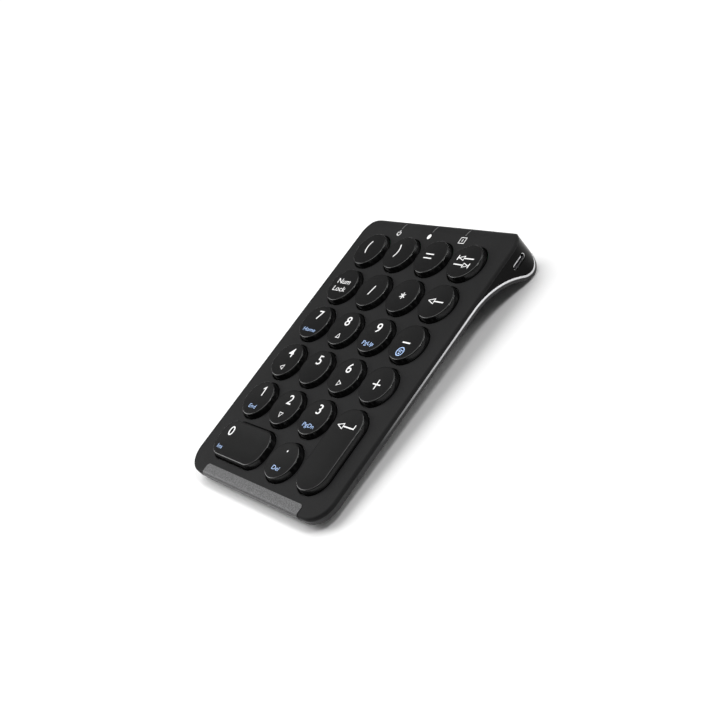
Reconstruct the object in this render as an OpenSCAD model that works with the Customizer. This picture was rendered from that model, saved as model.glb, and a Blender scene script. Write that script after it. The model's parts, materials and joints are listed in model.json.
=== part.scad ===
// Wireless numeric keypad: a flat key deck on a thin tray, raised at the back by a rounded wedge
// that holds the cell and the controller board. All sizes are in millimetres.
//
// The parts are drawn in the frame of the key deck: X to the right, Y to the rear from the front
// key row, Z out of the deck, zero on the deck's top face. on_desk() then tips the whole keypad
// onto its feet, with Z = 0 on the desk.

/* [Key grid] */
// Distance between key columns
column_pitch = 19; // [18.6:0.1:23]
// Distance between key rows
row_pitch = 18.8; // [18.6:0.1:23]

/* [Key caps] */
// Radius of a round cap at its top edge
cap_r = 7.8; // [6.6:0.1:7.9]
// How far the skirt stands out past the top edge
cap_flare = 0.6; // [0.3:0.05:0.8]
// Height of the cap tops above the deck
cap_h = 2.1; // [1.7:0.1:2.6]
// Depth of the dished top
cap_dish = 0.25; // [0.1:0.05:0.35]
// Thickness of the cap's top
cap_top_t = 0.8; // [0.7:0.1:0.9]
// Thickness of the cap's skirt
cap_wall = 0.9; // [0.7:0.1:1.1]
// Gap between a cap and its hole in the deck
hole_gap = 0.4; // [0.3:0.05:0.5]
// How far a key travels
key_travel = 1.8; // [1.4:0.1:1.8]
// Radius of the guide post under each cap
post_r = 2.6; // [2.2:0.1:2.8]
// Length of the wide zero key at its top edge
zero_l = 31.8; // [28:0.1:33]
// Corner radius of the wide zero key
zero_corner_r = 6.5; // [5:0.1:7]
// Length of the arms of the wires that keep the long keys level
arm_l = 6; // [5:0.1:6.5]
// Radius of those wires
wire_r = 0.4; // [0.3:0.05:0.4]

/* [Housing] */
// Deck beyond the outer key columns
side_margin = 16.5; // [16:0.1:22]
// Deck in front of the front key row
front_margin = 16; // [15:0.1:22]
// Deck behind the rear key row
rear_margin = 18.5; // [17.5:0.1:23]
// Corner radius of the deck
corner_r = 9.5; // [7:0.1:11]
// Rounding of the deck's top edge
edge_r = 0.9; // [0.5:0.1:1.1]
// Thickness of the top cover
cover_t = 1.4; // [1.3:0.1:1.6]
// Height of the side that can be seen
side_h = 3.35; // [3.2:0.05:3.8]
// Depth of the whole tray below the deck
tray_h = 6.4; // [6.4:0.1:7.5]
// How far the tray's floor is tucked in under its side
tray_inset = 5; // [4.5:0.1:5.4]
// Wall of the bottom cover
wall_t = 1.8; // [1.7:0.1:2]
// Floor of the bottom cover
floor_t = 1; // [0.9:0.1:1.2]

/* [Wedge] */
// Depth of the wedge below the deck
wedge_drop = 14.8; // [13.8:0.1:18]
// Radius of the wedge's rounded nose
nose_r = 7.8; // [7.4:0.1:8.2]
// Radius of the hollow sweep from the tray into the wedge
sweep_r = 34; // [28:1:42]
// Skin of the wedge
skin_t = 1.4; // [1.2:0.1:1.6]
// Dark rim of the bottom cover below the trim
rim_t = 0.65; // [0.5:0.05:0.8]
// Width of the bright side trim
trim_t = 1.25; // [1:0.05:1.3]
// Depth of the side trim into the wall
trim_depth = 1.2; // [0.8:0.1:1.3]
// How far ahead of the rear face the deck starts to roll over
roll_l = 6; // [5:0.1:7]
// Depth of each end cap along the wedge
end_cap_l = 6.2; // [6:0.1:6.6]

/* [Front strip] */
// Length of the front strip
strip_l = 64; // [40:1:66]
// Width of the front strip on the deck
strip_w = 4.3; // [3:0.1:5]
// Thickness of the front strip
strip_t = 0.6; // [0.5:0.05:0.7]
// How far the front strip stands out of the deck
strip_proud = 0.2; // [0.1:0.05:0.3]

/* [Feet and screws] */
// How far the feet stand out of the bottom cover
foot_proud = 0.8; // [0.6:0.1:1.5]
// Radius of a front foot
front_foot_r = 4; // [3:0.1:5]
// Length of a rear foot
rear_foot_l = 20; // [10:1:24]
// Width of a rear foot
rear_foot_w = 5; // [4:0.1:6]
// Radius of the thread of a cover screw
screw_r = 0.8; // [0.7:0.05:1]
// Radius of the head of a cover screw
screw_head_r = 1.8; // [1.5:0.1:2]

/* [Hidden] */
$fn = 48;

// Clearances: fixed pieces, and pieces that slide or turn.
fit = 0.05;
slide_fit = 0.05;
eps = 0.01;

// Deck
columns = 4;
rows = 6;
grid_w = (columns - 1) * column_pitch;
grid_l = (rows - 1) * row_pitch;
body_w = grid_w + 2 * side_margin;
half_w = body_w / 2;
front_y = -front_margin;
rear_y = grid_l + rear_margin;
function col(i) = (i - (columns - 1) / 2) * column_pitch;
function row(j) = j * row_pitch;

// Levels inside the tray, from the floor up
seam_z = -cover_t - fit;
floor_z = -tray_h + floor_t;
steel_t = 0.4;
membrane_t = 0.3;
sheet_t = 0.3;
frame_t = 0.8;
steel_z = floor_z;
membrane_z = steel_z + steel_t;
sheet_z = membrane_z + membrane_t;
dome_z = sheet_z + sheet_t;
ceiling_z = cap_h - cap_dish - cap_top_t;
skirt_z = -0.5;
frame_top_z = skirt_z - key_travel - 0.5;
collar_top_z = ceiling_z - key_travel - 0.2;
collar_bottom_z = dome_z + 0.4;
post_z = dome_z + key_travel + 0.2;
collar_r = post_r + slide_fit;
collar_t = 1;

// The stack of sheets under the keys
stack_x = col(3) + cap_r + cap_flare + hole_gap + 0.6;
stack_y0 = -cap_r - 1;
stack_y1 = row(5) + 5.5;
stack_r = 5;

// Outline of the wedge from the side. It is set in by a under the tray and by b at the rear,
// and its nose has the radius r. The nose always touches the sweep and the rear face.
nose_y = rear_y - nose_r;
sweep_z = -side_h - sweep_r;
sweep_y = nose_y - sqrt(pow(sweep_r + nose_r, 2) - pow(nose_r - wedge_drop - sweep_z, 2));
function nose_centre(a, b, r) = let (y = rear_y - b - r)
    [y, sweep_z + sqrt(pow(sweep_r + a + r, 2) - pow(y - sweep_y, 2))];

band = rim_t + trim_t;
trim_y = front_y + corner_r + 10;
band_nose_r = nose_r - 1;

// The deck rolls over into the rear face: a gentle arc, then a tighter one.
roll_y = rear_y - roll_l;
roll_r = 10;
roll_turn = 20;
roll_tight_r = (roll_l - roll_r * sin(roll_turn)) / (1 - sin(roll_turn));
roll_tight = [rear_y - roll_tight_r, -roll_r + (roll_r - roll_tight_r) * cos(roll_turn)];

// The end caps stand outside the stack.
cap_x = half_w - end_cap_l;

// The desk plane touches the soles of the feet.
front_foot = [col(3) + 1.5, -6];
rear_foot_x = 25;
tilt = atan((wedge_drop - tray_h) / (nose_y - front_foot[1]));
sole_z = -tray_h - foot_proud;
function turned(p) = [p[0] * cos(tilt) - p[1] * sin(tilt), p[0] * sin(tilt) + p[1] * cos(tilt)];
sole = turned([front_foot[1], sole_z]);
rear_edge = turned(nose_centre(0, 0, nose_r))[0] + nose_r;
front_edge = turned([front_y - strip_proud, -edge_r])[0];
desk_shift = [0, -(rear_edge + front_edge) / 2, -sole[1]];

// Controller board, with the charging socket and the power switch under its ends
cap_wall_t = 1.4;
board_t = 0.8;
board_z = -4.6;
board_y0 = stack_y1 + 0.5;
board_y1 = rear_y - 2.5;
port_y = nose_y - 2.2;
port_w = 7.5;
port_h = 2.5;
port_l = 5.4;
port_x = half_w - 0.7;
port_z = board_z - port_h / 2;
switch_y = nose_y - 3.3;
switch_l = 6.4;
switch_w = 3;
switch_h = 2.6;
switch_x = half_w - cap_wall_t - 0.2;
switch_wall = 0.4;
switch_travel = 1.5;
knob_l = 2.4;
knob_h = 1.1;

// The cell lies in the nose of the wedge
cell_r = 3.6;
cell_l = 46;
cell_y = nose_y;
cell_z = -wedge_drop + skin_t + fit + cell_r;

// Slots and guides that carry the lamps' light to the deck
light_x = [for (i = [-1:1]) -2 + i * column_pitch];
light_y = rear_y - 4;
light_l = 3.4;
light_w = 0.7;
light_z = board_z + board_t + 0.8;

// Screws: front corners, middle and rear, between the keys
screw_spots = [for (s = [-1, 1], p = [[half_w - 9.2, front_y + 7.2], [column_pitch, row(2.5)],
    [column_pitch, row(4.5)]]) [s * p[0], p[1]]];
pad_r = 3.2;
pad_h = 0.8;
boss_r = 2.2;

// Keys: name, centre, and half the distance between the corner centres in X and Y
enter_y = row_pitch / 2;
zero_x = zero_l / 2 - zero_corner_r;
zero_y = cap_r - zero_corner_r;
KEYS = [
    ["key_paren_left", [col(0), row(5)], [0, 0], cap_r],
    ["key_paren_right", [col(1), row(5)], [0, 0], cap_r],
    ["key_equals", [col(2), row(5)], [0, 0], cap_r],
    ["key_tab", [col(3), row(5)], [0, 0], cap_r],
    ["key_num_lock", [col(0), row(4)], [0, 0], cap_r],
    ["key_divide", [col(1), row(4)], [0, 0], cap_r],
    ["key_multiply", [col(2), row(4)], [0, 0], cap_r],
    ["key_backspace", [col(3), row(4)], [0, 0], cap_r],
    ["key_7", [col(0), row(3)], [0, 0], cap_r],
    ["key_8", [col(1), row(3)], [0, 0], cap_r],
    ["key_9", [col(2), row(3)], [0, 0], cap_r],
    ["key_minus", [col(3), row(3)], [0, 0], cap_r],
    ["key_4", [col(0), row(2)], [0, 0], cap_r],
    ["key_5", [col(1), row(2)], [0, 0], cap_r],
    ["key_6", [col(2), row(2)], [0, 0], cap_r],
    ["key_plus", [col(3), row(2)], [0, 0], cap_r],
    ["key_1", [col(0), row(1)], [0, 0], cap_r],
    ["key_2", [col(1), row(1)], [0, 0], cap_r],
    ["key_3", [col(2), row(1)], [0, 0], cap_r],
    ["key_enter", [col(3), row(0.5)], [0, enter_y], cap_r],
    ["key_0", [col(0.5) - 0.2, 0], [zero_x, zero_y], zero_corner_r],
    ["key_decimal", [col(2) - 0.7, -0.6], [0, 0], cap_r],
];
enter_key = KEYS[19];
zero_key = KEYS[20];

// Stabiliser wires: the bar lies beside the collar and its arms swing up and down by the same angle.
bar_offset = collar_r + collar_t + wire_r + 0.3;
bar_z = frame_top_z + wire_r + 0.1;
arm_turn = asin(key_travel / 2 / arm_l);
wire_span = 11.2;
tip_l = 1.6;
tip_x = bar_offset - arm_l * cos(arm_turn);
tip_z = bar_z + key_travel / 2;
lug_t = 1;

module on_desk() {
    translate(desk_shift) rotate([tilt, 0, 0]) children();
}

// Extrudes a side view, drawn as Y and Z, from x0 to x1.
module along_x(x0, x1) {
    translate([x0, 0, 0]) rotate([90, 0, 90]) linear_extrude(x1 - x0) children();
}

// Sweeps a section round the rectangle between the corner centres x0..x1, y0..y1. The section's
// X runs outwards from the corner centres and its Y is the height.
module around(x0, x1, y0, y1) {
    corners = [[x1, y1], [x0, y1], [x0, y0], [x1, y0]];
    if (x1 - x0 < eps && y1 - y0 < eps) {
        translate([x0, y0, 0]) rotate_extrude() children();
    } else {
        for (k = [0:3]) translate(corners[k]) rotate([0, 0, 90 * k]) {
            length = k % 2 == 0 ? y1 - y0 : x1 - x0;
            rotate_extrude(angle = 90) children();
            if (length > eps) rotate([90, 0, 0]) linear_extrude(length) children();
        }
    }
}

// Rounded rectangle between the corner centres x0..x1, y0..y1.
module round_plan(x0, x1, y0, y1, r) {
    xs = x1 - x0 < eps ? [x0] : [x0, x1];
    ys = y1 - y0 < eps ? [y0] : [y0, y1];
    for (x = xs, y = ys) translate([x, y]) circle(r);
    if (len(ys) == 2) translate([x0 - r, y0]) square([x1 - x0 + 2 * r, y1 - y0]);
    if (len(xs) == 2) translate([x0, y0 - r]) square([x1 - x0, y1 - y0 + 2 * r]);
}

// Upright slot as seen from the side, drawn as Y and Z about its centre, run along X from x0 to x1.
module side_slot(x0, x1, y, z, w, h) {
    along_x(x0, x1) translate([y, z]) round_plan((h - w) / 2, (w - h) / 2, 0, 0, h / 2);
}

// The keypad's outline from above, set in by d.
module body_plan(d = 0) {
    round_plan(-half_w + corner_r, half_w - corner_r, front_y + corner_r, rear_y - corner_r, corner_r - d);
}

module body_prism(d, z0, z1) {
    translate([0, 0, z0]) linear_extrude(z1 - z0) body_plan(d);
}

// Sweeps a section along the keypad's edge and fills the middle from z0 to z1.
module body_sweep(z0, z1) {
    around(-half_w + corner_r, half_w - corner_r, front_y + corner_r, rear_y - corner_r) children();
    translate([-half_w + corner_r, front_y + corner_r, z0])
        cube([body_w - 2 * corner_r, rear_y - front_y - 2 * corner_r, z1 - z0]);
}

// Points along an arc from angle t0 to t1, without the first.
function arc(centre, r, t0, t1, count) =
    [for (i = [1:count]) let (t = t0 + (t1 - t0) * i / count) centre + r * [cos(t), sin(t)]];

// The wedge's outline from its rear face, round the nose and up the sweep to the tray.
function wedge_line(a, b, r) = let (nose = nose_centre(a, b, r), turn = asin((nose[0] - sweep_y) / (sweep_r + a + r)))
    concat([[rear_y - b, nose[1]]], arc(nose, r, 0, -90 - turn, 32),
        arc([sweep_y, sweep_z], sweep_r + a, 90 - turn, 90, 20));

// Side view of the wedge below top.
module wedge_side(a, b, r, top) {
    polygon(concat([[sweep_y, top], [rear_y - b, top]], wedge_line(a, b, r)));
}

// Side view of the groove for the trim. It runs along the tray and follows the wedge.
module groove_side() {
    polygon(concat([[trim_y + 3, 0], [rear_y - rim_t, 0]], wedge_line(rim_t, rim_t, nose_r - rim_t),
        [[trim_y, -side_h + rim_t], [trim_y + 3, seam_z]]));
}

// Everything behind and above the rolled rear edge.
module roll_cut() {
    start = [roll_y, -roll_r];
    turn = start + roll_r * [sin(roll_turn), cos(roll_turn)];
    along_x(-half_w - 1, half_w + 1) difference() {
        translate([roll_y, roll_tight[1]]) square([roll_l + 1, 1 - roll_tight[1]]);
        intersection() {
            translate(start) circle(roll_r, $fn = 160);
            translate([roll_y - 1, -roll_r]) square([turn[0] - roll_y + 1, roll_r + 1]);
        }
        translate(roll_tight) circle(roll_tight_r, $fn = 96);
        polygon([[roll_y - 1, turn[1]], turn, roll_tight, [roll_y - 1, roll_tight[1] - 1]]);
    }
}

// Everything an end cap fills on the right-hand side, or its hollow when inset is the wall.
module end_cap_space(inset = 0) {
    difference() {
        intersection() {
            along_x(cap_x - inset, half_w)
                wedge_side(band + inset, rim_t + inset, band_nose_r - inset, seam_z);
            body_prism(inset, -wedge_drop, seam_z - inset);
        }
        roll_cut();
    }
}

// Groove along the right-hand side, open at the top, where the end cap closes it.
module trim_groove() {
    difference() {
        along_x(cap_x, half_w + 1) groove_side();
        body_prism(trim_depth, -wedge_drop - 1, 1);
    }
}

// The trim fills the lower part of the groove and runs out at the rear.
module side_trim() {
    color([0.8, 0.8, 0.82]) difference() {
        intersection() {
            trim_groove();
            body_prism(0, -wedge_drop, seam_z);
        }
        along_x(cap_x - 1, half_w + 1) wedge_side(band, rim_t, band_nose_r, seam_z + 1);
    }
}

// Side view of a block whose top front edge is rounded like the deck's, standing out from it by out.
module front_edge_side(out, rear, bottom) {
    y = front_y + edge_r;
    translate([y, -edge_r]) circle(edge_r + out);
    translate([y, -edge_r]) square([rear - y, edge_r + out]);
    translate([front_y - out, bottom]) square([edge_r + out, -edge_r - bottom]);
}

module strip_side() {
    difference() {
        front_edge_side(strip_proud, front_y + strip_w, -side_h + 0.15);
        front_edge_side(strip_proud - strip_t, front_y + strip_w + 1, -side_h - 1);
        translate([front_y + edge_r, -side_h - 1]) square([strip_w + 1, side_h + 1 - edge_r]);
    }
}

module strip_shape() {
    r = 1.4;
    intersection() {
        along_x(-strip_l / 2, strip_l / 2) strip_side();
        translate([0, 0, -side_h]) linear_extrude(side_h + 1)
            round_plan(-strip_l / 2 + r, strip_l / 2 - r, front_y - 5, front_y + strip_w - r, r);
    }
}

// Hole for a key, in plan.
module key_hole(key) {
    h = key[2];
    translate(key[1]) round_plan(-h[0], h[0], -h[1], h[1], key[3] + cap_flare + hole_gap);
}

module top_cover() {
    color([0.16, 0.16, 0.17]) difference() {
        union() {
            body_sweep(-cover_t, 0) {
                translate([0, -cover_t]) square([corner_r, cover_t - edge_r]);
                translate([0, -cover_t]) square([corner_r - edge_r, cover_t]);
                intersection() {
                    translate([corner_r - edge_r, -edge_r]) circle(edge_r);
                    translate([0, -cover_t]) square([corner_r, cover_t]);
                }
            }
            for (p = screw_spots) translate([p[0], p[1], floor_z + pad_h + fit])
                cylinder(r = boss_r, h = -floor_z - pad_h - fit - cover_t / 2);
        }
        for (k = KEYS) translate([0, 0, -cover_t - 1]) linear_extrude(cover_t + 2) key_hole(k);
        for (p = screw_spots) translate([p[0], p[1], floor_z]) cylinder(r = screw_r + 0.02, h = 3.6);
        strip_shape();
        roll_cut();
        light_columns(0, light_z, 0.5);
    }
}

// Upright columns with the outline of the light slots, widened by grow.
module light_columns(grow, z0, z1) {
    h = (light_l - light_w) / 2;
    for (x = light_x) translate([x, light_y, z0]) linear_extrude(z1 - z0)
        round_plan(0, 0, -h, h, light_w / 2 + grow);
}

module front_strip() {
    color([0.42, 0.42, 0.43]) strip_shape();
}

// The tray and the wedge before they are hollowed out.
module bottom_block() {
    body_sweep(-tray_h, seam_z) polygon([[0, seam_z], [corner_r, seam_z], [corner_r, -side_h],
        [corner_r - tray_inset, -tray_h], [0, -tray_h]]);
    intersection() {
        along_x(-half_w, half_w) wedge_side(0, 0, nose_r, seam_z);
        body_prism(0, -wedge_drop - 1, 0);
    }
}

// Ribs that cradle the cell, and posts that carry the board.
module wedge_ribs() {
    difference() {
        for (s = [-1, 1]) along_x(s * 20 - 1, s * 20 + 1) intersection() {
            wedge_side(skin_t - 0.2, skin_t - 0.2, nose_r - skin_t + 0.2, cell_z + 1);
            translate([cell_y - cell_r - 2, -wedge_drop]) square([2 * cell_r + 4, cell_z + 1 + wedge_drop]);
        }
        along_x(-cap_x, cap_x) translate([cell_y, cell_z]) circle(cell_r + fit);
    }
    for (s = [-1, 1]) translate([s * 30, cell_y, -wedge_drop + skin_t - 0.2])
        cylinder(r = 1.5, h = board_z - fit + wedge_drop - skin_t + 0.2);
}

module bottom_cover() {
    color([0.09, 0.09, 0.1]) difference() {
        union() {
            difference() {
                bottom_block();
                body_sweep(floor_z, 1) polygon([[0, 1], [corner_r - wall_t, 1],
                    [corner_r - wall_t, -side_h + 0.4], [corner_r - tray_inset - 0.9, floor_z], [0, floor_z]]);
                along_x(-cap_x, cap_x) wedge_side(skin_t, skin_t, nose_r - skin_t, 1);
                for (s = [0, 1]) mirror([s, 0, 0]) end_cap_space();
            }
            for (p = screw_spots) translate([p[0], p[1], floor_z - 0.1]) cylinder(r = pad_r, h = pad_h + 0.1);
            wedge_ribs();
        }
        for (s = [0, 1]) mirror([s, 0, 0]) trim_groove();
        for (p = screw_spots) translate([p[0], p[1], -tray_h - 1]) {
            cylinder(r = screw_head_r + 0.2, h = 1.9);
            cylinder(r = screw_r + 0.15, h = 5);
        }
        strip_shape();
        front_feet_shape();
        rear_feet_shape();
        roll_cut();
    }
}

// Hollow cap for the right-hand end of the wedge.
module end_cap() {
    difference() {
        end_cap_space();
        end_cap_space(cap_wall_t);
    }
}

module end_cap_right() {
    color([0.04, 0.04, 0.045]) difference() {
        end_cap();
        side_slot(cap_x, half_w + 1, port_y, port_z, port_w + 2 * fit, port_h + 2 * fit);
    }
}

module end_cap_left() {
    color([0.04, 0.04, 0.045]) mirror([1, 0, 0]) difference() {
        end_cap();
        translate([cap_x, switch_y - (knob_l + switch_travel) / 2 - 0.2, board_z - switch_h / 2 - knob_h / 2 - 0.2])
            cube([end_cap_l + 1, knob_l + switch_travel + 0.4, knob_h + 0.4]);
    }
}

module stack_plate(z, t) {
    difference() {
        translate([0, 0, z]) linear_extrude(t)
            round_plan(-stack_x + stack_r, stack_x - stack_r, stack_y0 + stack_r, stack_y1 - stack_r, stack_r);
        for (p = screw_spots) translate([p[0], p[1], z - 1]) cylinder(r = pad_r + 0.2, h = t + 2);
    }
}

// Places a stabiliser's frame, whose Y runs along the key.
module along_key(key) {
    translate([key[1][0], key[1][1], 0]) rotate([0, 0, key[2][0] > key[2][1] ? 90 : 0]) children();
}

// The wire that keeps a long key level.
module stabiliser(key) {
    color([0.7, 0.7, 0.72]) along_key(key) {
        translate([bar_offset, wire_span + wire_r, bar_z]) rotate([90, 0, 0])
            cylinder(r = wire_r, h = 2 * (wire_span + wire_r));
        for (s = [0, 1]) mirror([0, s, 0]) {
            translate([bar_offset, wire_span, bar_z]) rotate([0, arm_turn - 90, 0])
                cylinder(r = wire_r - 0.04, h = arm_l);
            translate([tip_x, wire_span - wire_r, tip_z]) rotate([-90, 0, 0])
                cylinder(r = wire_r, h = tip_l + wire_r);
        }
    }
}

// Clips on the frame that hold a stabiliser's bar.
module bar_clips() {
    for (s = [-1, 1]) translate([bar_offset - wire_r - 0.2, s * 6 - 1, frame_top_z - 0.1])
        cube([2 * wire_r + 1, 2, 2 * wire_r + 0.7]);
}

module bar_bore() {
    translate([bar_offset, wire_span, bar_z]) rotate([90, 0, 0])
        cylinder(r = wire_r + slide_fit, h = 2 * wire_span);
}

// Windows in the frame that the wire's arms and the key's lugs dip into.
module arm_windows() {
    for (s = [0, 1]) mirror([0, s, 0]) translate([tip_x - 1.5, wire_span - wire_r - 0.3, frame_top_z - frame_t - 1])
        cube([bar_offset - wire_r / 2 - tip_x + 1.5, tip_l + 2 * wire_r + 0.5, frame_t + 2]);
}

// Lugs under a long key, each with a slot for the tip of the wire.
module tip_lugs() {
    for (s = [0, 1]) mirror([0, s, 0]) translate([tip_x, wire_span + wire_r + 0.1, 0]) difference() {
        translate([-1.1, 0, tip_z - wire_r - 0.6]) cube([2.2, lug_t, ceiling_z + 0.8 - tip_z + wire_r]);
        for (x = [-0.1, 0.1]) translate([x, -1, tip_z]) rotate([-90, 0, 0])
            cylinder(r = wire_r + slide_fit, h = lug_t + 2);
        translate([-0.1, -1, tip_z - wire_r - slide_fit]) cube([0.2, lug_t + 2, 2 * (wire_r + slide_fit)]);
    }
}

module key_frame() {
    color([0.25, 0.25, 0.27]) difference() {
        union() {
            stack_plate(frame_top_z - frame_t, frame_t);
            for (k = KEYS) translate([k[1][0], k[1][1], collar_bottom_z])
                cylinder(r = collar_r + collar_t, h = collar_top_z - collar_bottom_z);
            for (k = [enter_key, zero_key]) along_key(k) bar_clips();
        }
        for (k = KEYS) translate([k[1][0], k[1][1], collar_bottom_z - 1])
            cylinder(r = collar_r, h = collar_top_z - collar_bottom_z + 2);
        for (k = [enter_key, zero_key]) along_key(k) {
            bar_bore();
            arm_windows();
        }
    }
}

module dome_sheet() {
    color([0.75, 0.76, 0.78]) {
        difference() {
            stack_plate(sheet_z, sheet_t);
            for (k = KEYS) translate([k[1][0], k[1][1], sheet_z - 1]) cylinder(r = post_r - 0.4, h = sheet_t + 2);
        }
        for (k = KEYS) translate([k[1][0], k[1][1], 0]) rotate_extrude() polygon([
            [0, post_z], [post_r - 1, post_z], [post_r - 0.9, post_z - 0.4], [post_r - 0.4, dome_z],
            [post_r - 0.4, sheet_z], [post_r - 0.8, sheet_z], [post_r - 1.3, post_z - 0.5], [0, post_z - 0.5]]);
    }
}

module membrane_circuit() {
    color([0.5, 0.62, 0.55]) stack_plate(membrane_z, membrane_t);
}

module back_plate() {
    color([0.65, 0.66, 0.68]) stack_plate(steel_z, steel_t);
}

module controller_board() {
    color([0.08, 0.3, 0.16]) intersection() {
        body_prism(cap_wall_t + 0.3, board_z, board_z + board_t);
        union() {
            translate([-half_w, board_y0, board_z]) cube([body_w, board_y1 - board_y0, board_t]);
            for (s = [0, 1]) mirror([s, 0, 0]) translate([stack_x + 0.5, port_y - port_w / 2, board_z])
                cube([half_w - stack_x, port_w, board_t]);
        }
    }
}

// Socket shell with the contact tongue inside it.
module charging_socket() {
    color([0.75, 0.76, 0.78]) {
        difference() {
            side_slot(port_x - port_l, port_x, port_y, port_z, port_w, port_h);
            side_slot(port_x - port_l + 0.4, port_x + 1, port_y, port_z, port_w - 0.6, port_h - 0.6);
        }
        translate([port_x - port_l + 0.2, port_y - 2.6, port_z - 0.35]) cube([port_l - 1, 5.2, 0.7]);
    }
}

// The power switch is drawn at the right-hand end and mirrored to the left.
module power_switch() {
    color([0.5, 0.5, 0.52]) mirror([1, 0, 0]) translate([switch_x, switch_y, board_z - switch_h / 2])
        difference() {
            translate([-switch_w, -switch_l / 2, -switch_h / 2]) cube([switch_w, switch_l, switch_h]);
            translate([-switch_w + switch_wall, -switch_l / 2 + switch_wall, -switch_h / 2 + switch_wall])
                cube([switch_w - 2 * switch_wall, switch_l - 2 * switch_wall, switch_h - 2 * switch_wall]);
            translate([-1, -(knob_l + switch_travel) / 2 - slide_fit, -knob_h / 2 - slide_fit])
                cube([2, knob_l + switch_travel + 2 * slide_fit, knob_h + 2 * slide_fit]);
        }
}

module power_knob() {
    slider_h = switch_h - 2 * switch_wall - 2 * slide_fit;
    color([0.85, 0.85, 0.86]) mirror([1, 0, 0])
        translate([switch_x, switch_y - switch_travel / 2, board_z - switch_h / 2]) {
            translate([-1.5, -knob_l / 2, -knob_h / 2]) cube([1.5 + cap_wall_t, knob_l, knob_h]);
            translate([-2.3, -knob_l / 2 - 0.5, -slider_h / 2]) cube([1.8, knob_l + 1, slider_h]);
        }
}

module battery_cell() {
    color([0.75, 0.2, 0.15]) translate([-cell_l / 2, cell_y, cell_z]) rotate([0, 90, 0])
        cylinder(r = cell_r, h = cell_l);
}

module light_guides() {
    color([0.9, 0.9, 0.92]) difference() {
        union() {
            light_columns(-fit, light_z, 0.5);
            light_columns(0.5, seam_z - 0.8, seam_z);
        }
        roll_cut();
    }
}

module indicator_lamps() {
    color([0.95, 0.9, 0.6]) for (x = light_x) translate([x - 0.4, light_y - 0.8, board_z + board_t])
        cube([0.8, 1.6, light_z - board_z - board_t - fit]);
}

// Cuts away what would reach below the desk.
module above_desk() {
    difference() {
        children();
        translate([0, front_foot[1], sole_z]) rotate([-tilt, 0, 0]) translate([-100, -100, -50]) cube([200, 300, 50]);
    }
}

module front_feet_shape() {
    for (s = [-1, 1]) translate([s * front_foot[0], front_foot[1], sole_z - 1])
        cylinder(r = front_foot_r, h = foot_proud + 1.4);
}

module front_feet() {
    color([0.12, 0.12, 0.12]) above_desk() front_feet_shape();
}

module rear_feet_shape() {
    for (s = [-1, 1]) translate([s * rear_foot_x - rear_foot_l / 2, nose_y - rear_foot_w / 2, -wedge_drop - foot_proud - 1])
        cube([rear_foot_l, rear_foot_w, foot_proud + 1.7]);
}

module rear_feet() {
    color([0.12, 0.12, 0.12]) above_desk() rear_feet_shape();
}

module cover_screws() {
    color([0.6, 0.6, 0.62]) for (p = screw_spots) translate([p[0], p[1], -tray_h]) {
        translate([0, 0, 0.1]) cylinder(r = screw_head_r, h = 0.8);
        cylinder(r = screw_r, h = 4.4);
    }
}

// Half section of a cap with corner radius r, from the corner centre outwards.
module cap_section(r) {
    edge = 0.35;
    flat = r - edge;
    flank = atan(cap_flare / (cap_h - skirt_z));
    skirt_r = r + cap_flare;
    polygon(concat(
        [for (i = [0:6]) [flat * i / 6, cap_h - cap_dish * (1 - pow(i / 6, 2))]],
        [for (i = [1:4]) let (t = (90 - flank) * i / 4) [flat + edge * sin(t), cap_h - edge + edge * cos(t)]],
        [[skirt_r, skirt_z], [skirt_r - cap_wall, skirt_z], [r - cap_wall - 0.1, ceiling_z], [0, ceiling_z]]));
}

module key_cap(key) {
    h = key[2];
    color([0.05, 0.05, 0.055]) translate([key[1][0], key[1][1], 0]) {
        around(-h[0], h[0], -h[1], h[1]) cap_section(key[3]);
        if (h[0] > 0 && h[1] > 0) translate([-h[0], -h[1], ceiling_z]) cube([2 * h[0], 2 * h[1], cap_top_t]);
        translate([0, 0, post_z]) cylinder(r = post_r, h = ceiling_z - post_z + cap_top_t / 2);
    }
    if (h[0] + h[1] > 0) color([0.05, 0.05, 0.055]) along_key(key) tip_lugs();
}

on_desk() top_cover();
on_desk() front_strip();
on_desk() bottom_cover();
on_desk() end_cap_right();
on_desk() end_cap_left();
on_desk() side_trim();  // side_trim_right
on_desk() mirror([1, 0, 0]) side_trim();  // side_trim_left
on_desk() key_frame();
on_desk() dome_sheet();
on_desk() membrane_circuit();
on_desk() back_plate();
on_desk() controller_board();
on_desk() charging_socket();
on_desk() power_switch();
on_desk() power_knob();
on_desk() battery_cell();
on_desk() light_guides();
on_desk() indicator_lamps();
on_desk() stabiliser(enter_key);  // enter_stabiliser
on_desk() stabiliser(zero_key);  // zero_stabiliser
on_desk() front_feet();
on_desk() rear_feet();
on_desk() cover_screws();
for (k = KEYS) on_desk() key_cap(k);
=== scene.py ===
import json
import math

import bmesh
import bpy
from mathutils import Matrix, Vector


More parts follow.
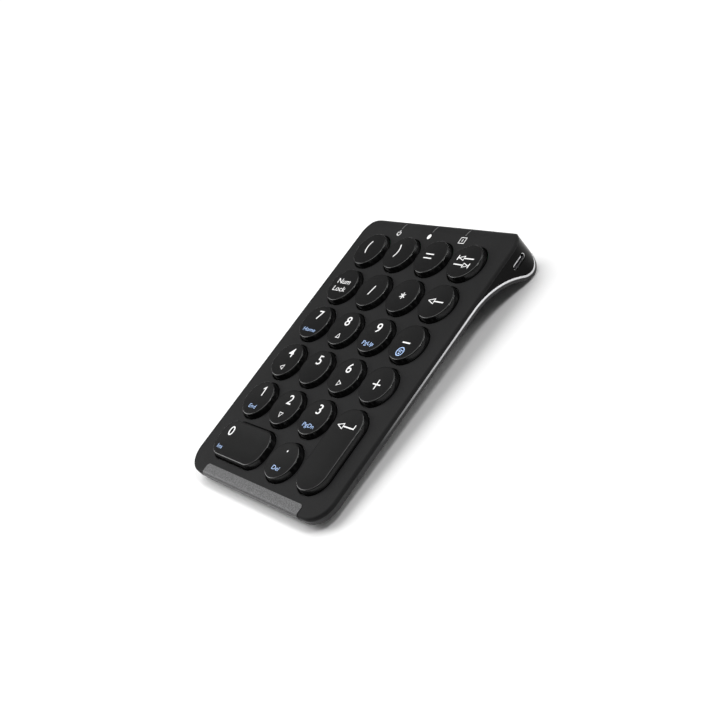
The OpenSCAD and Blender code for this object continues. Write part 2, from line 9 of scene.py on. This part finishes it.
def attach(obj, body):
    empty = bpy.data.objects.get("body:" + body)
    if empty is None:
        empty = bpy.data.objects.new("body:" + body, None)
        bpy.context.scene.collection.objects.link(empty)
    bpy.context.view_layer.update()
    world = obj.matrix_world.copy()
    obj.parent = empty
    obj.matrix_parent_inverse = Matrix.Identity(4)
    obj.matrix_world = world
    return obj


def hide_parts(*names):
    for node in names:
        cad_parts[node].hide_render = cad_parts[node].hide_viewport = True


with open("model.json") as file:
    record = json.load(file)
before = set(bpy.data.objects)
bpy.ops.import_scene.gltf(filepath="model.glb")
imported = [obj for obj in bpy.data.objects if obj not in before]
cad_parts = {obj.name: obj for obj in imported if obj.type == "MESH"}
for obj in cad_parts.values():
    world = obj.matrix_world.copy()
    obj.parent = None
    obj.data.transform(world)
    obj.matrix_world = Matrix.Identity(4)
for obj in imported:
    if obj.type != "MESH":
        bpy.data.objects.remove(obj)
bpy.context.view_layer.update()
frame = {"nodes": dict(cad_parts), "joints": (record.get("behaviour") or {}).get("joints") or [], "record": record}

# The key deck's own frame, in millimetres: X to the right, Y to the rear from the front key row,
# Z out of the deck with zero on its top face. DECK carries it to the desk, in metres.
DECK_ORIGIN = (0, -0.048322, 0.0076333)
MM = 0.001
press_axis = next(j["axis"] for j in frame["joints"] if j["name"] == "press_5")
deck_tilt = math.atan2(press_axis[1], -press_axis[2])
DECK = (
    Matrix.Translation(DECK_ORIGIN)
    @ Matrix.Rotation(deck_tilt, 4, "X")
    @ Matrix.Diagonal((MM, MM, MM, 1))
)

# Key grid and caps
COLUMN_PITCH = 19.0
ROW_PITCH = 18.8
CAP_R = 7.8
CAP_FLARE = 0.6
CAP_H = 2.1
CAP_DISH = 0.25
CAP_EDGE_R = 0.4
CAP_TOP_T = 0.8
CAP_WALL = 0.9
CAP_STEPS = 96
CEILING_Z = CAP_H - CAP_DISH - CAP_TOP_T
SKIRT_Z = -0.5
POST_R = 2.6
POST_Z = -2.4
POST_ROOT = 0.3
ZERO_R = 6.5
ZERO_HALF_X = 9.4
ZERO_HALF_Y = 1.3
ZERO_SHIFT = -0.2
DECIMAL_SHIFT = (-0.7, -0.6)

# Housing outline, as far as the side trim follows it
HALF_W = 45.0
REAR_Y = 112.5
CORNER_R = 9.5
SIDE_H = 3.35
WEDGE_DROP = 14.8
NOSE_R = 7.8
SWEEP_R = 34.0
SWEEP_Z = -SIDE_H - SWEEP_R
SWEEP_Y = REAR_Y - NOSE_R - math.sqrt((SWEEP_R + NOSE_R) ** 2 - (NOSE_R - WEDGE_DROP - SWEEP_Z) ** 2)
TRIM_START = 3.5
TRIM_DEPTH = 1.2
TRIM_INNER_X = 38.8
RIM = 0.65


def column(i):
    return (i - 1.5) * COLUMN_PITCH


def row(j):
    return j * ROW_PITCH


# Each key's centre, half distances between its corner centres, and corner radius
ROUND = (0.0, 0.0)
CAPS = {
    "paren_left": ((column(0), row(5)), ROUND, CAP_R),
    "paren_right": ((column(1), row(5)), ROUND, CAP_R),
    "equals": ((column(2), row(5)), ROUND, CAP_R),
    "tab": ((column(3), row(5)), ROUND, CAP_R),
    "num_lock": ((column(0), row(4)), ROUND, CAP_R),
    "divide": ((column(1), row(4)), ROUND, CAP_R),
    "multiply": ((column(2), row(4)), ROUND, CAP_R),
    "backspace": ((column(3), row(4)), ROUND, CAP_R),
    "7": ((column(0), row(3)), ROUND, CAP_R),
    "8": ((column(1), row(3)), ROUND, CAP_R),
    "9": ((column(2), row(3)), ROUND, CAP_R),
    "minus": ((column(3), row(3)), ROUND, CAP_R),
    "4": ((column(0), row(2)), ROUND, CAP_R),
    "5": ((column(1), row(2)), ROUND, CAP_R),
    "6": ((column(2), row(2)), ROUND, CAP_R),
    "plus": ((column(3), row(2)), ROUND, CAP_R),
    "1": ((column(0), row(1)), ROUND, CAP_R),
    "2": ((column(1), row(1)), ROUND, CAP_R),
    "3": ((column(2), row(1)), ROUND, CAP_R),
    "enter": ((column(3), row(0.5)), (0.0, ROW_PITCH / 2), CAP_R),
    "0": ((column(0.5) + ZERO_SHIFT, 0.0), (ZERO_HALF_X, ZERO_HALF_Y), ZERO_R),
    "decimal": ((column(2) + DECIMAL_SHIFT[0], DECIMAL_SHIFT[1]), ROUND, CAP_R),
}


# ---------------------------------------------------------------- finishes


class Finish:
    """A material under construction, with short calls for the nodes it needs."""

    def __init__(self, name):
        self.material = bpy.data.materials.new(name)
        self.material.use_nodes = True
        self.tree = self.material.node_tree
        self.shader = next(n for n in self.tree.nodes if n.type == "BSDF_PRINCIPLED")
        self.place = self.add("ShaderNodeTexCoord").outputs["Object"]

    def add(self, kind):
        return self.tree.nodes.new(kind)

    def join(self, a, b):
        self.tree.links.new(a, b)

    def set(self, **sockets):
        for name, value in sockets.items():
            self.shader.inputs[name.replace("_", " ")].default_value = value
        return self

    def stretched(self, scale):
        mapping = self.add("ShaderNodeMapping")
        mapping.inputs["Scale"].default_value = scale
        self.join(self.place, mapping.inputs["Vector"])
        return mapping.outputs["Vector"]

    def noise(self, scale, detail=3.0, place=None):
        node = self.add("ShaderNodeTexNoise")
        node.inputs["Scale"].default_value = scale
        node.inputs["Detail"].default_value = detail
        self.join(place or self.place, node.inputs["Vector"])
        return node.outputs["Fac"]

    def along_y(self, start, end):
        """Rises from 0 to 1 from front to rear."""
        split = self.add("ShaderNodeSeparateXYZ")
        self.join(self.place, split.inputs["Vector"])
        return self.range(split.outputs["Y"], 0, 1, start, end)

    def range(self, value, low, high, start=0.3, end=0.7):
        node = self.add("ShaderNodeMapRange")
        node.inputs["From Min"].default_value = start
        node.inputs["From Max"].default_value = end
        node.inputs["To Min"].default_value = low
        node.inputs["To Max"].default_value = high
        self.join(value, node.inputs["Value"])
        return node.outputs["Result"]

    def colours(self, value, low, high, start=0.3, end=0.7):
        node = self.add("ShaderNodeValToRGB")
        node.color_ramp.elements[0].position = start
        node.color_ramp.elements[0].color = (*low, 1)
        node.color_ramp.elements[1].position = end
        node.color_ramp.elements[1].color = (*high, 1)
        self.join(value, node.inputs["Fac"])
        self.join(node.outputs["Color"], self.shader.inputs["Base Color"])

    def rough(self, value, low, high):
        self.join(self.range(value, low, high), self.shader.inputs["Roughness"])

    def bump(self, value, depth_mm):
        node = self.add("ShaderNodeBump")
        node.inputs["Distance"].default_value = depth_mm * MM
        node.inputs["Strength"].default_value = 1.0
        self.join(value, node.inputs["Height"])
        self.join(node.outputs["Normal"], self.shader.inputs["Normal"])
        return self


def grey(shade):
    """A grey with a trace of blue."""
    return (shade, shade, shade * 1.02)


def moulded(name, shade, roughness, grain_mm, depth_mm, spread=0.15):
    """Moulded plastic: a fine spark-eroded grain, with slightly uneven shade and gloss."""
    f = Finish(name)
    grain = f.noise(1000 / grain_mm, 4)
    cloud = f.noise(45, 2)
    f.colours(cloud, [c * (1 - spread) for c in shade], [c * (1 + spread) for c in shade])
    f.rough(grain, roughness * 0.85, roughness * 1.15)
    f.bump(grain, depth_mm)
    return f


def deck_plastic():
    f = moulded("deck_plastic", grey(0.0125), 0.58, 0.35, 0.012, 0.1)
    return f.set(Specular_IOR_Level=0.07).material


def cap_satin():
    f = moulded("cap_satin", grey(0.0045), 0.4, 0.25, 0.004, 0.1)
    return f.set(Specular_IOR_Level=0.07).material


def cap_gloss():
    f = moulded("cap_gloss", grey(0.003), 0.18, 0.5, 0.001, 0.2)
    return f.set(Specular_IOR_Level=0.3, Coat_Weight=0.05, Coat_Roughness=0.08).material


def strip_paint():
    f = Finish("strip_metal_paint")
    flake = f.noise(2600, 2)
    f.colours(flake, grey(0.035), grey(0.13), 0.3, 0.7)
    f.rough(f.noise(1800, 3), 0.42, 0.6)
    f.bump(flake, 0.02)
    return f.set(Metallic=0.35, Specular_IOR_Level=0.4).material


def tray_plastic():
    return moulded("tray_plastic", grey(0.010), 0.55, 0.4, 0.012, 0.15).material


def end_cap_gloss():
    f = moulded("end_cap_gloss", grey(0.002), 0.12, 6.0, 0.003, 0.2)
    return f.set(Specular_IOR_Level=0.06, Coat_Weight=0.01, Coat_Roughness=0.05).material


def bright_trim():
    f = Finish("bright_trim")
    brushed = f.noise(900, 3, f.stretched((1, 0.05, 1)))
    # Painted shade: the trim's metal is painted near black towards the front and brightens to its own bright metal
    # colour towards the rear.
    f.colours(f.along_y(-0.03, 0.03), grey(0.05), grey(0.72), 0.0, 1.0)
    f.rough(brushed, 0.24, 0.38)
    f.bump(brushed, 0.002)
    return f.set(Metallic=1.0).material


def frame_plastic():
    return moulded("frame_plastic", grey(0.08), 0.5, 0.5, 0.01).material


def silicone():
    f = moulded("silicone", (0.6, 0.61, 0.63), 0.45, 0.6, 0.006, 0.05)
    return f.set(Subsurface_Weight=0.3, Subsurface_Scale=0.001).material


def film():
    f = Finish("printed_film")
    tracks = f.add("ShaderNodeTexWave")
    tracks.inputs["Scale"].default_value = 260
    tracks.inputs["Distortion"].default_value = 3
    f.join(f.place, tracks.inputs["Vector"])
    f.colours(tracks.outputs["Fac"], (0.36, 0.5, 0.44), (0.62, 0.64, 0.62), 0.75, 0.85)
    f.rough(f.noise(500), 0.2, 0.35)
    return f.bump(tracks.outputs["Fac"], 0.01).material


def plain_steel():
    f = Finish("plain_steel")
    rolled = f.noise(1200, 4, f.stretched((0.08, 1, 1)))
    f.colours(rolled, grey(0.45), grey(0.62))
    f.rough(rolled, 0.28, 0.42)
    f.bump(rolled, 0.003)
    return f.set(Metallic=1.0).material


def solder_mask():
    f = Finish("solder_mask")
    copper = f.add("ShaderNodeTexBrick")
    copper.inputs["Scale"].default_value = 420
    f.join(f.place, copper.inputs["Vector"])
    f.colours(copper.outputs["Fac"], (0.01, 0.09, 0.035), (0.02, 0.16, 0.07), 0.2, 0.8)
    f.rough(f.noise(600), 0.22, 0.36)
    return f.bump(copper.outputs["Fac"], 0.02).material


def clear_guide():
    f = moulded("clear_guide", (0.09, 0.09, 0.092), 0.35, 0.5, 0.004, 0.05)
    return f.set(Transmission_Weight=0.2).material


def cell_sleeve():
    f = moulded("cell_sleeve", (0.32, 0.05, 0.03), 0.28, 3.0, 0.03, 0.12)
    return f.set(Coat_Weight=0.4, Coat_Roughness=0.1).material


def lamp_resin():
    return moulded("lamp_resin", (0.8, 0.74, 0.45), 0.25, 0.4, 0.004, 0.08).material


def foot_rubber():
    return moulded("foot_rubber", grey(0.012), 0.8, 0.3, 0.03, 0.2).material


def printed(name, colour):
    """Pad-printed ink, a little uneven where it took."""
    f = Finish(name)
    ink = f.noise(1500, 3)
    f.colours(ink, [c * 0.88 for c in colour], colour, 0.25, 0.6)
    f.rough(ink, 0.4, 0.55)
    return f.bump(ink, 0.004).material


def floor_paper():
    f = Finish("floor_paper")
    f.colours(f.noise(30, 2), (0.9, 0.9, 0.9), (0.92, 0.92, 0.92))
    f.rough(f.noise(400, 2), 0.85, 0.95)
    return f.material


FINISHES = {
    "deck": deck_plastic(),
    "strip": strip_paint(),
    "base": tray_plastic(),
    "gloss_black": end_cap_gloss(),
    "bright_trim": bright_trim(),
    "frame_plastic": frame_plastic(),
    "silicone": silicone(),
    "film": film(),
    "steel": plain_steel(),
    "board": solder_mask(),
    "light_plastic": clear_guide(),
    "cell": cell_sleeve(),
    "lamp": lamp_resin(),
    "foot_rubber": foot_rubber(),
    "key_plastic": cap_satin(),
}
CAP_FLANK = cap_gloss()
WHITE_INK = printed("white_ink", (0.86, 0.86, 0.86))
BLUE_INK = printed("blue_ink", (0.42, 0.6, 0.95))

for part in frame["record"]["subparts"]:
    for holder in frame["nodes"][part["node"]].material_slots:
        holder.material = FINISHES[part["material_slot"]]


# ---------------------------------------------------------------- making pieces


def piece(name, bm, materials, body, crease=35):
    """Turns a mesh drawn on the deck into a finished piece that moves with a body."""
    bm.transform(DECK)
    bmesh.ops.recalc_face_normals(bm, faces=bm.faces)
    mesh = bpy.data.meshes.new(name)
    bm.to_mesh(mesh)
    bm.free()
    for material in materials:
        mesh.materials.append(material)
    mesh.polygons.foreach_set("use_smooth", [True] * len(mesh.polygons))
    mesh.set_sharp_from_angle(angle=math.radians(crease))
    obj = bpy.data.objects.new(name, mesh)
    bpy.context.scene.collection.objects.link(obj)
    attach(obj, body)
    return obj


def dish_z(x, y, half, r):
    """Height of a cap's dished top, x and y from its centre."""
    dx = max(abs(x) - half[0], 0)
    dy = max(abs(y) - half[1], 0)
    share = min(math.hypot(dx, dy) / (r - CAP_EDGE_R), 1)
    return CAP_H - CAP_DISH * (1 - share**2)


def cap_profile(r):
    """Half section of a cap from the middle of the dish, over the edge and down the flank."""
    flat = r - CAP_EDGE_R
    lean = math.atan(CAP_FLARE / (CAP_H - SKIRT_Z))
    top = [(flat * i / 10, dish_z(flat * i / 10, 0, ROUND, r)) for i in range(1, 11)]
    bend = math.pi / 2 - lean
    turns = [bend * i / 6 for i in range(1, 7)]
    curve = [(flat + CAP_EDGE_R * math.sin(t), CAP_H + CAP_EDGE_R * (math.cos(t) - 1)) for t in turns]
    skirt = r + CAP_FLARE
    foot = [(skirt - 0.02, SKIRT_Z + 0.12), (skirt - 0.12, SKIRT_Z), (skirt - CAP_WALL, SKIRT_Z)]
    inside = [(r - CAP_WALL - 0.1, CEILING_Z), (POST_R + 0.1, CEILING_Z)]
    return top + curve + foot + inside


def cap(name):
    """One key cap, spun from its half section and stretched between its corner centres."""
    centre, half, r = CAPS[name]
    profile = cap_profile(r)
    bm = bmesh.new()
    verts = [bm.verts.new((x, 0, z)) for x, z in profile]
    edges = [bm.edges.new(pair) for pair in zip(verts, verts[1:])]
    bmesh.ops.spin(
        bm, geom=verts + edges, cent=(0, 0, 0), axis=(0, 0, 1), dvec=(0, 0, 0),
        angle=2 * math.pi, steps=CAP_STEPS, use_merge=True,
    )
    bmesh.ops.remove_doubles(bm, verts=bm.verts, dist=1e-5)
    half_step = Matrix.Rotation(math.pi / CAP_STEPS, 3, "Z")
    bmesh.ops.rotate(bm, verts=bm.verts, cent=(0, 0, 0), matrix=half_step)
    for v in bm.verts:
        v.co.x += math.copysign(half[0], v.co.x)
        v.co.y += math.copysign(half[1], v.co.y)
    bmesh.ops.holes_fill(bm, edges=[e for e in bm.edges if e.is_boundary], sides=0)
    for face in bm.faces:
        middle = face.calc_center_median()
        out = math.hypot(max(abs(middle.x) - half[0], 0), max(abs(middle.y) - half[1], 0))
        on_dish = middle.z > CAP_H - CAP_DISH - 0.05 and out < r - CAP_EDGE_R + 0.04
        face.material_index = 0 if on_dish else 1
    post = bmesh.ops.create_cone(
        bm, cap_ends=True, segments=48, radius1=POST_R, radius2=POST_R,
        depth=CEILING_Z + POST_ROOT - POST_Z,
        matrix=Matrix.Translation((0, 0, (CEILING_Z + POST_ROOT + POST_Z) / 2)),
    )
    for face in {f for v in post["verts"] for f in v.link_faces}:
        face.material_index = 1
    bmesh.ops.translate(bm, verts=bm.verts, vec=(*centre, 0))
    made = piece("cap_" + name, bm, [FINISHES["key_plastic"], CAP_FLANK], "key_" + name, 50)
    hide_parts("key_" + name)


for name in CAPS:
    cap(name)


# ---------------------------------------------------------------- side trim


def trim_line(inset, nose_r):
    """Side view of the housing's lower edge, set in, from the trim's front end round the nose."""
    sweep_r = SWEEP_R + inset
    nose_y = REAR_Y - RIM - nose_r
    nose_z = SWEEP_Z + math.sqrt((sweep_r + nose_r) ** 2 - (nose_y - SWEEP_Y) ** 2)
    turn = math.asin((nose_y - SWEEP_Y) / (sweep_r + nose_r))
    line = [(TRIM_START + inset, inset - SIDE_H)]
    for i in range(33):
        t = math.pi / 2 - turn * i / 32
        line.append((SWEEP_Y + sweep_r * math.cos(t), SWEEP_Z + sweep_r * math.sin(t)))
    for i in range(1, 41):
        t = -(math.pi / 2 + turn) * (1 - i / 40)
        line.append((nose_y + nose_r * math.cos(t), nose_z + nose_r * math.sin(t)))
    return line


def side_x(y):
    """Half width of the housing at y, which shrinks round the rear corner."""
    past = max(y - (REAR_Y - CORNER_R), 0)
    return HALF_W - CORNER_R + math.sqrt(CORNER_R**2 - past**2)


# Edges of the dark lip and the bright bead: inset from the housing's edge, nose radius, how far proud
TRIM_EDGES = ((RIM, 7.15, 0.0), (1.15, 7.0, 0.0), (1.5, 6.9, 0.08), (1.9, 6.8, 0.0))


def side_trim(name, side, node):
    """Slim bright bead over a dark lip, which together fill the groove in the housing's side."""
    bm = bmesh.new()
    loops = []
    bead = set()
    for points in zip(*[trim_line(inset, nose_r) for inset, nose_r, _ in TRIM_EDGES]):
        outer = [(side_x(y) + proud, y, z) for (y, z), (_, _, proud) in zip(points, TRIM_EDGES)]
        inner = [(max(x - TRIM_DEPTH, TRIM_INNER_X), y, z) for x, y, z in (outer[-1], outer[0])]
        section = [bm.verts.new((side * x, y, z)) for x, y, z in outer + inner]
        bead.update(section[1:4])
        loops.append([bm.edges.new(pair) for pair in zip(section, section[1:] + section[:1])])
    for a, b in zip(loops, loops[1:]):
        bmesh.ops.bridge_loops(bm, edges=a + b)
    bmesh.ops.holes_fill(bm, edges=[e for e in bm.edges if e.is_boundary], sides=0)
    for face in bm.faces:
        is_end = len(face.verts) > 4
        face.material_index = 0 if is_end or bead.issuperset(face.verts) else 1
    made = piece(name, bm, [FINISHES["bright_trim"], FINISHES["base"]], "housing")
    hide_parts(node)


side_trim("trim_right", 1, "side_trim_right")
side_trim("trim_left", -1, "side_trim_left")


# ---------------------------------------------------------------- legends


FONT_SIZE = 10
FONT_CAP_HEIGHT = 7.3
PRINT_LIFT = 0.015
PRINT_STEP = 0.7
RING_STEPS = 40


def lettering(bm, text, height, at, weight=0.0, stretch=1.0):
    """Adds flat letters of that capital height, centred on a point of the cap."""
    curve = bpy.data.curves.new("letters", "FONT")
    curve.body = text
    curve.size = FONT_SIZE
    curve.offset = weight
    curve.resolution_u = 6
    letters = bpy.data.objects.new("letters", curve)
    bpy.context.scene.collection.objects.link(letters)
    bpy.context.view_layer.update()
    mesh = bpy.data.meshes.new_from_object(letters)
    bpy.data.objects.remove(letters)
    drawn = bmesh.new()
    drawn.from_mesh(mesh)
    xs = [v.co.x for v in drawn.verts]
    ys = [v.co.y for v in drawn.verts]
    size = height / FONT_CAP_HEIGHT
    middle = Vector(((min(xs) + max(xs)) / 2, (max(ys) + max(0, min(ys))) / 2, 0))
    bmesh.ops.translate(drawn, verts=drawn.verts, vec=-middle)
    bmesh.ops.scale(drawn, verts=drawn.verts, vec=(size * stretch, size, size))
    bmesh.ops.translate(drawn, verts=drawn.verts, vec=(*at, 0))
    drawn.to_mesh(mesh)
    drawn.free()
    bm.from_mesh(mesh)


def bar(bm, a, b, width):
    """A straight printed stroke from a to b."""
    a = Vector((*a, 0))
    b = Vector((*b, 0))
    side = (b - a).normalized().cross(Vector((0, 0, 1))) * width / 2
    bm.faces.new([bm.verts.new(p) for p in (a + side, b + side, b - side, a - side)])


def outline(bm, points, width):
    """A printed closed outline, drawn as one stroke after another."""
    points = [Vector(p) for p in points]
    for a, b in zip(points, points[1:] + points[:1]):
        past = (b - a).normalized() * width * 0.3
        bar(bm, a - past, b + past, width)


def ring(bm, at, rx, ry, width, start=0, end=360):
    """A printed ring, or part of one, with its stroke inside the radii. A wide stroke makes a dot."""
    before = set(bm.verts)
    t = math.radians(start)
    ray = [bm.verts.new((d * math.cos(t), d * math.sin(t), 0)) for d in (1, 2)]
    bmesh.ops.spin(
        bm, geom=ray + [bm.edges.new(ray)], cent=(0, 0, 0), axis=(0, 0, 1), dvec=(0, 0, 0),
        angle=math.radians(end - start), steps=RING_STEPS, use_merge=end - start == 360,
    )
    drawn = [v for v in bm.verts if v not in before]
    inner = [v for v in drawn if v.co.length < 1.5]
    outer = [v for v in drawn if v.co.length > 1.5]
    bmesh.ops.scale(bm, verts=inner, vec=(rx - width, ry - width, 1))
    bmesh.ops.scale(bm, verts=outer, vec=(rx / 2, ry / 2, 1))
    bmesh.ops.translate(bm, verts=drawn, vec=(*at, 0))


def triangle(at, size, turn):
    """Corners of an isosceles triangle that points along turn, in degrees."""
    t = math.radians(turn)
    along = Vector((math.cos(t), math.sin(t))) * size[0] / 2
    across = Vector((-math.sin(t), math.cos(t))) * size[1] / 2
    middle = Vector(at)
    return [middle + along, middle - along + across, middle - along - across]


def laid(name, bm, material, key):
    """Lays flat print on a cap, following its dish."""
    centre, half, r = CAPS[key]
    bmesh.ops.triangulate(bm, faces=bm.faces)
    for _ in range(3):
        long = [e for e in bm.edges if e.calc_length() > PRINT_STEP]
        if not long:
            break
        bmesh.ops.subdivide_edges(bm, edges=long, cuts=1)
        bmesh.ops.triangulate(bm, faces=bm.faces)
    for v in bm.verts:
        v.co.z = dish_z(v.co.x, v.co.y, half, r) + PRINT_LIFT
    bmesh.ops.translate(bm, verts=bm.verts, vec=(*centre, 0))
    piece(name, bm, [material], "key_" + key)


def legend(key, draw, ink=WHITE_INK, kind="legend_"):
    """Prints on a key what draw adds about the middle of its cap."""
    bm = bmesh.new()
    draw(bm)
    laid(kind + key, bm, ink, key)


STROKE = 0.5
DIGIT_H = 4.2
DIGIT_WEIGHT = 0.03
DIGIT_STRETCH = 1.15
DIGIT_AT = (-0.1, 3.4)
WORD_H = 1.8
WORD_WEIGHT = -0.05
WORD_STRETCH = 1.3
WORD_AT = (0.0, -3.8)
ARROW_SIZE = (2.0, 2.2)
ARROW_AT = (0, -3.5)


def digit_on(key, at=DIGIT_AT):
    legend(key, lambda bm: lettering(bm, key, DIGIT_H, at, DIGIT_WEIGHT, DIGIT_STRETCH))


def word_on(key, word, at=WORD_AT):
    draw = lambda bm: lettering(bm, word, WORD_H, at, WORD_WEIGHT, WORD_STRETCH)
    legend(key, draw, BLUE_INK, "second_legend_")


def arrow_on(key, turn):
    legend(key, lambda bm: outline(bm, triangle(ARROW_AT, ARROW_SIZE, turn), 0.26), WHITE_INK, "arrow_")


for digit in "23456789":
    digit_on(digit)
digit_on("0", (-10.6, 2.9))
legend("decimal", lambda bm: ring(bm, (-0.3, 3.9), 0.38, 0.38, 0.37))
for key, word in (("7", "Home"), ("9", "PgUp"), ("1", "End"), ("3", "PgDn")):
    word_on(key, word)
word_on("0", "Ins", (-10.8, -4.4))
word_on("decimal", "Del", (-0.3, -3.4))
for key, turn in (("8", 90), ("2", -90), ("4", 180), ("6", 0)):
    arrow_on(key, turn)

legend("minus", lambda bm: bar(bm, (-2.1, -0.1), (2.1, -0.1), 0.6))


def draw_one(bm):
    bar(bm, (0.5, 1.3), (0.5, 5.5), 0.56)
    bar(bm, (0.6, 5.3), (-0.8, 4.2), 0.5)


def draw_plus(bm):
    bar(bm, (-2.1, 0), (2.1, 0), STROKE)
    bar(bm, (0, -2.1), (0, 2.1), STROKE)


def draw_radio(bm):
    """A generic mark for a wireless link: a dot under two arcs, in a round frame."""
    ring(bm, (0, -4.1), 1.9, 2.0, 0.4)
    ring(bm, (0, -5.0), 0.35, 0.35, 0.34)
    ring(bm, (0, -5.0), 1.0, 1.0, 0.28, 45, 135)
    ring(bm, (0, -5.0), 1.7, 1.7, 0.28, 45, 135)


def draw_backspace(bm):
    outline(bm, triangle((-2.5, 0), (3.0, 2.3), 180), 0.32)
    bar(bm, (-1.2, 0), (4.0, 0), STROKE)


def draw_enter(bm):
    outline(bm, triangle((-3.2, 9.6), (3.0, 2.2), 180), 0.32)
    bar(bm, (-1.8, 9.6), (4.3, 9.6), STROKE)
    bar(bm, (4.3, 9.35), (4.3, 11.3), STROKE)


def draw_tab(bm):
    outline(bm, triangle((-2.6, 1.4), (2.7, 2.0), 180), 0.3)
    bar(bm, (-1.3, 1.4), (4.0, 1.4), STROKE)
    bar(bm, (-4.4, 0.3), (-4.4, 2.5), STROKE)
    outline(bm, triangle((1.7, -1.7), (2.7, 2.0), 0), 0.3)
    bar(bm, (-4.6, -1.7), (0.4, -1.7), STROKE)
    bar(bm, (3.5, -2.8), (3.5, -0.6), STROKE)


def draw_equals(bm):
    bar(bm, (-3.8, 1.3), (0.7, 1.3), STROKE)
    bar(bm, (-3.8, -0.6), (0.7, -0.6), STROKE)


def draw_star(bm):
    for turn in (90, 30, 150):
        t = math.radians(turn)
        tip = (1.5 * math.cos(t), 1.5 * math.sin(t))
        bar(bm, (-0.1 - tip[0], -tip[1]), (-0.1 + tip[0], tip[1]), 0.42)


def draw_num_lock(bm):
    lettering(bm, "Num", 2.5, (-0.5, 1.8), 0.0, 1.2)
    lettering(bm, "Lock", 2.5, (-0.4, -1.9), 0.0, 1.2)


legend("1", draw_one)
legend("plus", draw_plus)
legend("minus", draw_radio, BLUE_INK, "radio_mark_")
legend("backspace", draw_backspace)
legend("enter", draw_enter)
legend("tab", draw_tab)
legend("equals", draw_equals)
legend("multiply", draw_star)
legend("num_lock", draw_num_lock)
legend("divide", lambda bm: bar(bm, (-0.7, -2.2), (0.5, 2.2), 0.55))
legend("paren_left", lambda bm: ring(bm, (3.2, 0.9), 5.6, 5.6, 0.52, 146, 214))
legend("paren_right", lambda bm: ring(bm, (-6.6, 0.9), 5.6, 5.6, 0.52, -34, 34))


# ---------------------------------------------------------------- status marks on the deck


MARK_Y = 104.6


def on_deck(name, draw):
    """Prints a mark on the deck in front of its light slot."""
    bm = bmesh.new()
    draw(bm)
    for v in bm.verts:
        v.co.z += PRINT_LIFT
    piece(name, bm, [WHITE_INK], "housing")


def draw_power(bm):
    at = (-20.9, MARK_Y)
    ring(bm, at, 1.15, 1.15, 0.36, 125, 415)
    bar(bm, (at[0], at[1] + 0.3), (at[0], at[1] + 1.6), 0.36)


def draw_link(bm):
    ring(bm, (-2.2, MARK_Y), 0.95, 1.2, 0.94)


def draw_lock(bm):
    at = (17.2, MARK_Y)
    corners = ((-1.5, -1.35), (1.5, -1.35), (1.5, 1.35), (-1.5, 1.35))
    outline(bm, [(at[0] + x, at[1] + y) for x, y in corners], 0.3)
    bar(bm, (at[0], at[1] - 0.65), (at[0], at[1] + 0.65), 0.34)


on_deck("power_mark", draw_power)
on_deck("link_mark", draw_link)
on_deck("lock_mark", draw_lock)


# ---------------------------------------------------------------- floor, light and camera

floor_bm = bmesh.new()
bmesh.ops.create_grid(floor_bm, x_segments=8, y_segments=8, size=4)
floor_mesh = bpy.data.meshes.new("floor")
floor_bm.to_mesh(floor_mesh)
floor_bm.free()
floor_mesh.materials.append(floor_paper())
floor = bpy.data.objects.new("floor", floor_mesh)
bpy.context.scene.collection.objects.link(floor)


def softbox(name, place, target, size, power):
    light = bpy.data.lights.new(name, "AREA")
    light.shape = "RECTANGLE"
    light.size, light.size_y = size
    light.energy = power
    lamp = bpy.data.objects.new(name, light)
    lamp.location = place
    lamp.rotation_euler = (Vector(target) - Vector(place)).to_track_quat("-Z", "Y").to_euler()
    bpy.context.scene.collection.objects.link(lamp)


softbox("overhead_softbox", (-0.5, 0.25, 1.3), (0, 0, 0), (1.2, 1.2), 17)
softbox("left_softbox", (-1.2, -0.45, 0.75), (0, 0, 0), (0.8, 0.8), 11)
softbox("rear_strip_light", (0.5, 0.9, 0.4), (0, 0, 0.02), (0.5, 0.2), 3.5)
softbox("edge_light", (0.7, 0.35, 1.0), (0, 0, 0.02), (0.22, 0.22), 5)

world = bpy.data.worlds.new("studio")
world.use_nodes = True
world.node_tree.nodes["Background"].inputs["Color"].default_value = (1, 1, 1, 1)
world.node_tree.nodes["Background"].inputs["Strength"].default_value = 0.17
bpy.context.scene.world = world
bpy.context.scene.view_settings.view_transform = "Standard"

# The camera's place and its right and backward directions, on the deck
CAMERA_AT = Vector((354.63, -72.76, 238.84))
CAMERA_RIGHT = Vector((0.5915183, 0.5650047, -0.5752180))
CAMERA_BACK = Vector((0.7917630, -0.2722143, 0.5468187))
camera_data = bpy.data.cameras.new("camera")
camera_data.lens = 60.21
camera_data.sensor_width = 36
camera_data.clip_start = 0.01
camera = bpy.data.objects.new("camera", camera_data)
bpy.context.scene.collection.objects.link(camera)
camera.matrix_world = (
    Matrix.Translation(DECK @ CAMERA_AT)
    @ Matrix.Rotation(deck_tilt, 4, "X")
    @ Matrix((CAMERA_RIGHT, CAMERA_BACK.cross(CAMERA_RIGHT), CAMERA_BACK)).transposed().to_4x4()
)
bpy.context.scene.camera = camera
